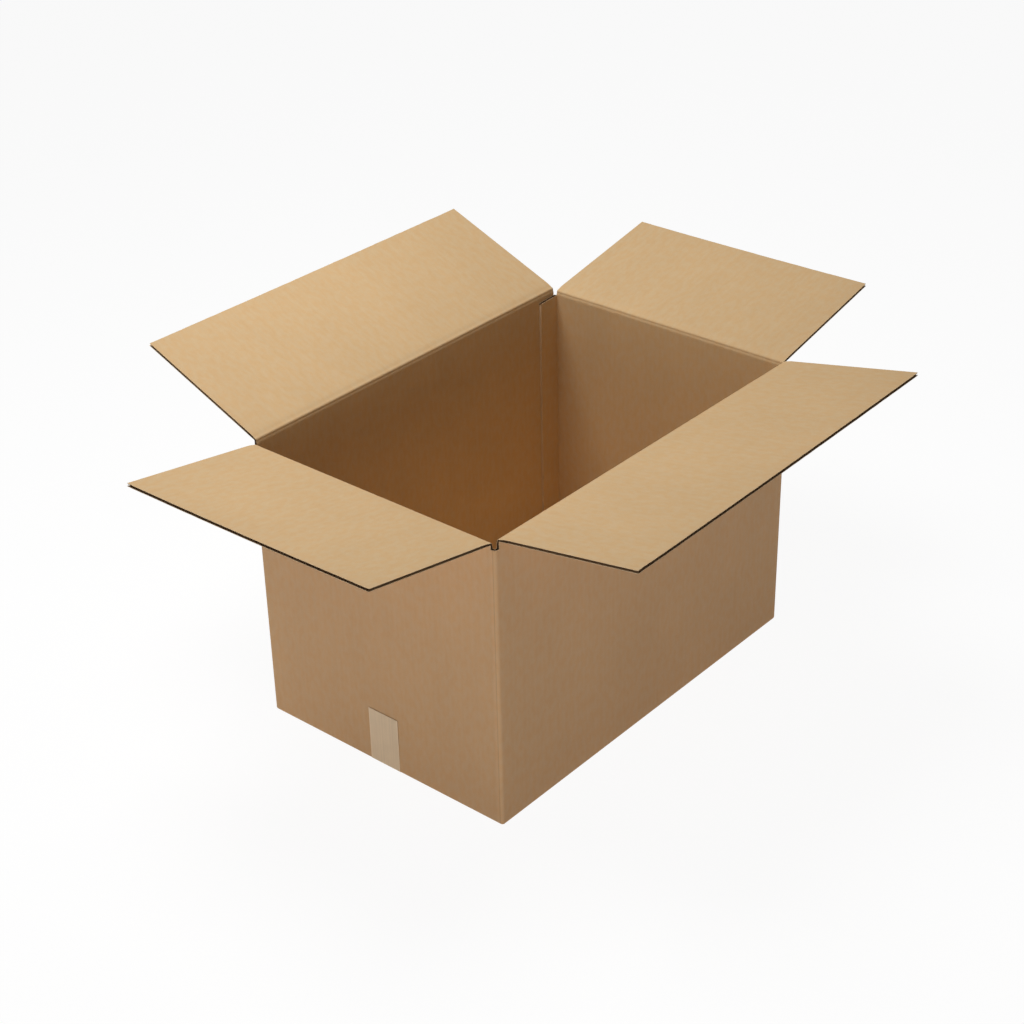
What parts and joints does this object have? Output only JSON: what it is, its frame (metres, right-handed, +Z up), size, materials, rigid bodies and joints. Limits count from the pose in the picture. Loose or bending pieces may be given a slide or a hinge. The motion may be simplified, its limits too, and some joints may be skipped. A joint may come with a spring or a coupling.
{
  "type": "open cardboard box",
  "caption": "Plain kraft slotted carton standing open, with its top flaps laid back, a glue tab inside a corner and a taped bottom.",
  "frame": {"origin": "centre of the underside, on the surface the carton stands on", "axes": "+X along the length, +Y across the width, +Z up; the end with the tape in view is at -X and the long wall in view at -Y"},
  "size_m": [1.0005, 0.7807, 0.4837],
  "materials": {
    "kraft_board": "matt brown kraft liner",
    "kraft_flap": "matt brown kraft liner over open flutes",
    "sealing_tape": "pale matt packing tape"
  },
  "bodies": {
    "carton": {"carton_body": "kraft_board", "bottom_tape": "sealing_tape"},
    "near_end_flap": {"near_end_flap": "kraft_flap"},
    "far_end_flap": {"far_end_flap": "kraft_flap"},
    "near_side_flap": {"near_side_flap": "kraft_flap"},
    "far_side_flap": {"far_side_flap": "kraft_flap"}
  },
  "joints": [
    {"name": "near_end_crease", "type": "hinge", "parent": "carton", "child": "near_end_flap", "pos_m": [-0.3, 0, 0.4], "axis": [0, 1, 0], "range_deg": [-95, 170]},
    {"name": "far_end_crease", "type": "hinge", "parent": "carton", "child": "far_end_flap", "pos_m": [0.3, 0, 0.4], "axis": [0, -1, 0], "range_deg": [-96.4, 168.6]},
    {"name": "near_side_crease", "type": "hinge", "parent": "carton", "child": "near_side_flap", "pos_m": [0, -0.2, 0.4043], "axis": [-1, 0, 0], "range_deg": [-95.6, 169.4]},
    {"name": "far_side_crease", "type": "hinge", "parent": "carton", "child": "far_side_flap", "pos_m": [0, 0.2, 0.4043], "axis": [1, 0, 0], "range_deg": [-107.3, 157.7]}
  ]
}
